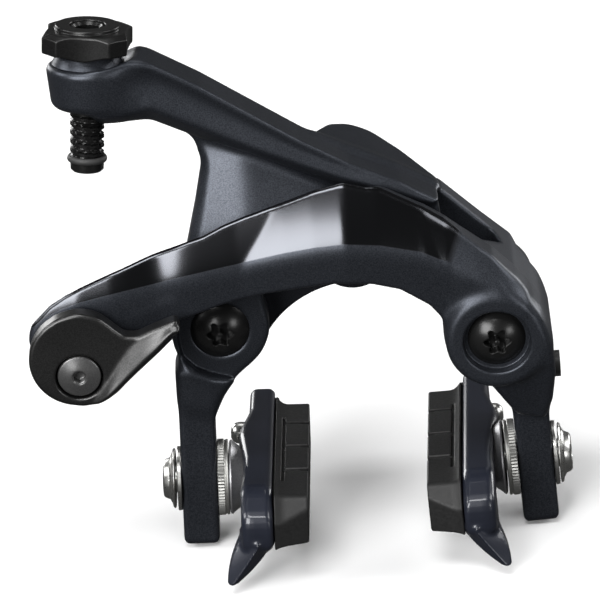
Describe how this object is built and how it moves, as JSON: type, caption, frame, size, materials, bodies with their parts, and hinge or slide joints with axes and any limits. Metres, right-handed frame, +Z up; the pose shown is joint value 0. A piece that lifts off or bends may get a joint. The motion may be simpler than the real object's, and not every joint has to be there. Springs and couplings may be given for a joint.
{
  "type": "rim brake caliper",
  "caption": "Dual-pivot side-pull rim brake caliper with a barrel adjuster, a quick-release cable clamp and cartridge brake shoes.",
  "frame": {"origin": "on the mounting stud's axis, in the face of the toothed washer that meets the fork crown", "axes": "+Y along the mounting stud, back into the fork crown; +Z up; +X to the right as seen from the front"},
  "size_m": [0.1123, 0.0674, 0.1203],
  "materials": {
    "arm_finish": "satin anodised and lacquered aluminium",
    "bracket_finish": "matte black",
    "black_steel": "glossy black plated steel",
    "steel": "bright stainless steel",
    "spring_steel": "drawn spring wire",
    "bush_bronze": "plain sintered bronze",
    "dark_metal": "dark grey satin anodised",
    "nylon": "black nylon",
    "ring_rubber": "black rubber",
    "shoe_paint": "glossy dark lacquer",
    "pad_rubber": "charcoal brake rubber, matte"
  },
  "bodies": {
    "bracket": {"bracket": "bracket_finish", "mounting_stud": "steel", "serrated_washer": "steel", "left_pivot_bolt": "black_steel", "right_pivot_bolt": "black_steel", "thrust_washers": "steel", "return_spring": "spring_steel"},
    "stop_arm": {"stop_arm": "arm_finish", "left_pivot_bush": "bush_bronze", "roller_pin": "steel", "left_spring_guide": "nylon", "detent_ring": "arm_finish"},
    "sync_roller": {"sync_roller": "steel"},
    "adjuster_knob": {"adjuster_knob": "dark_metal"},
    "adjuster_barrel": {"adjuster_barrel": "black_steel", "barrel_ring": "ring_rubber"},
    "clamp_arm": {"clamp_arm": "arm_finish", "right_pivot_bushes": "bush_bronze", "right_spring_guide": "nylon"},
    "centring_screw": {"centring_screw": "black_steel"},
    "quick_release": {"quick_release_lever": "dark_metal", "cable_anchor_bolt": "dark_metal", "cable_clamp_plate": "steel", "cable_anchor_nut": "steel"},
    "left_shoe_slide": {"left_shoe_spacer": "steel", "left_leg_washer": "steel"},
    "left_shoe_seat": {"left_convex_washer": "dark_metal", "left_shoe_bolt": "steel", "left_bolt_washer": "steel"},
    "left_shoe": {"left_shoe_holder": "shoe_paint", "left_pad_screw": "steel", "left_brake_pad": "pad_rubber"},
    "right_shoe_slide": {"right_shoe_spacer": "steel", "right_leg_washer": "steel"},
    "right_shoe_seat": {"right_convex_washer": "dark_metal", "right_shoe_bolt": "steel", "right_bolt_washer": "steel"},
    "right_shoe": {"right_shoe_holder": "shoe_paint", "right_pad_screw": "steel", "right_brake_pad": "pad_rubber"}
  },
  "joints": [
    {"name": "stop_arm_close", "type": "hinge", "parent": "bracket", "child": "stop_arm", "pos_m": [-0.0288, -0.016, -0.0072], "axis": [0, -1, 0], "range_deg": [0, 7], "stiffness_Nm_per_rad": 0.35, "springref_deg": -28.65, "deforming": ["return_spring"]},
    {"name": "clamp_arm_close", "type": "hinge", "parent": "bracket", "child": "clamp_arm", "pos_m": [0.0288, -0.023, -0.0072], "axis": [0, 1, 0], "range_deg": [0, 7], "stiffness_Nm_per_rad": 0.35, "springref_deg": -28.65},
    {"name": "roller_spin", "type": "hinge", "parent": "stop_arm", "child": "sync_roller", "pos_m": [0.0159, -0.014, 0.0094], "axis": [0, 1, 0], "continuous": true},
    {"name": "knob_turn", "type": "hinge", "parent": "stop_arm", "child": "adjuster_knob", "pos_m": [-0.0519, -0.02, 0.05], "axis": [0.0832, 0.1111, 0.9903], "range_deg": [-360, 360]},
    {"name": "barrel_travel", "type": "slide", "parent": "stop_arm", "child": "adjuster_barrel", "axis": [0.0832, 0.1111, 0.9903], "range_m": [-0.0015, 0.0015]},
    {"name": "centring_screw_turn", "type": "hinge", "parent": "clamp_arm", "child": "centring_screw", "pos_m": [0.0406, -0.0165, -0.022], "axis": [1, 0, 0], "range_deg": [-180, 180]},
    {"name": "quick_release_swing", "type": "hinge", "parent": "clamp_arm", "child": "quick_release", "pos_m": [-0.0579, -0.03, -0.0026], "axis": [0, 1, 0], "range_deg": [0, 95]},
    {"name": "left_shoe_height", "type": "slide", "parent": "stop_arm", "child": "left_shoe_slide", "axis": [0.0384, 0, 0.9993], "range_m": [-0.005, 0.005]},
    {"name": "left_shoe_toe", "type": "hinge", "parent": "left_shoe_slide", "child": "left_shoe_seat", "pos_m": [-0.0358, -0.0165, -0.043], "axis": [0.0384, 0, 0.9993], "range_deg": [0, 2.6]},
    {"name": "left_shoe_turn", "type": "hinge", "parent": "left_shoe_seat", "child": "left_shoe", "pos_m": [-0.0358, -0.0165, -0.043], "axis": [0.999, -0.0227, -0.0384], "range_deg": [-8, 8]},
    {"name": "right_shoe_height", "type": "slide", "parent": "clamp_arm", "child": "right_shoe_slide", "axis": [-0.0384, 0, 0.9993], "range_m": [-0.005, 0.005]},
    {"name": "right_shoe_toe", "type": "hinge", "parent": "right_shoe_slide", "child": "right_shoe_seat", "pos_m": [0.0358, -0.0165, -0.043], "axis": [-0.0384, 0, 0.9993], "range_deg": [0, 3]},
    {"name": "right_shoe_turn", "type": "hinge", "parent": "right_shoe_seat", "child": "right_shoe", "pos_m": [0.0358, -0.0165, -0.043], "axis": [-0.9984, 0.0419, -0.0384], "range_deg": [-8, 8]}
  ],
  "couplings": [
    {"joint": "stop_arm_close", "follows": "clamp_arm_close", "ratio": 1},
    {"joint": "barrel_travel", "follows": "knob_turn", "m_per_rad": 0.00023873}
  ]
}
